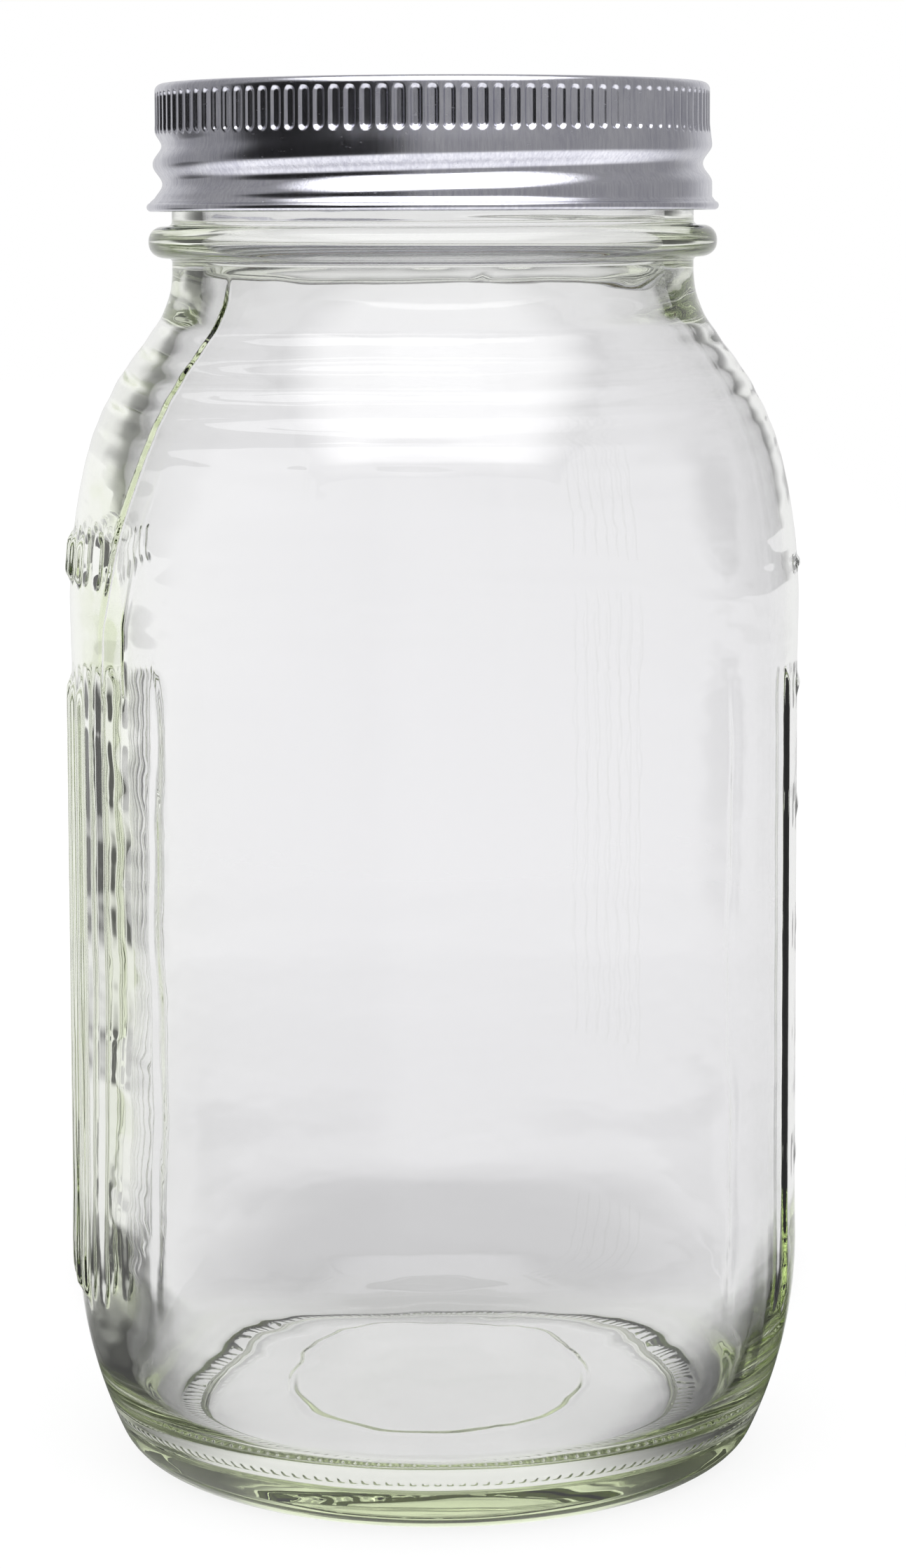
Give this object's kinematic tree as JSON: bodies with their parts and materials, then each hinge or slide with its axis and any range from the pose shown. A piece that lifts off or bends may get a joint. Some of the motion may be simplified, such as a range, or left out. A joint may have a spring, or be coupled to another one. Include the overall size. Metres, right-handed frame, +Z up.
{
  "type": "canning jar with two-piece screw closure",
  "caption": "Clear glass quart canning jar with a flat sealing lid held down by a knurled screw band.",
  "frame": {"origin": "centre of the ring that the jar stands on, on the jar's axis at the base plane", "axes": "+Z up along the jar's axis; -Y is the front, the grip ribs are on -X and the volume scale is on +X"},
  "size_m": [0.0957, 0.095, 0.1784],
  "materials": {
    "clear_glass": "clear soda-lime glass, faint green in thick places",
    "lid_tinplate": "satin tinplate",
    "gasket_compound": "matt sealing compound",
    "band_tinplate": "satin rolled tinplate with brighter worn ridges"
  },
  "bodies": {
    "jar": {"jar_glass": "clear_glass"},
    "lid": {"lid_disc": "lid_tinplate", "sealing_gasket": "gasket_compound"},
    "band": {"screw_band": "band_tinplate"}
  },
  "joints": [
    {"name": "lid_lift", "type": "slide", "parent": "jar", "child": "lid", "axis": [0, 0, 1], "range_m": [0, 0.0305]},
    {"name": "band_turn", "type": "hinge", "parent": "lid", "child": "band", "pos_m": [0, 0, 0.17], "axis": [0, 0, 1], "range_deg": [0, 2160]}
  ],
  "couplings": [
    {"joint": "lid_lift", "follows": "band_turn", "m_per_rad": 0.00080851}
  ]
}
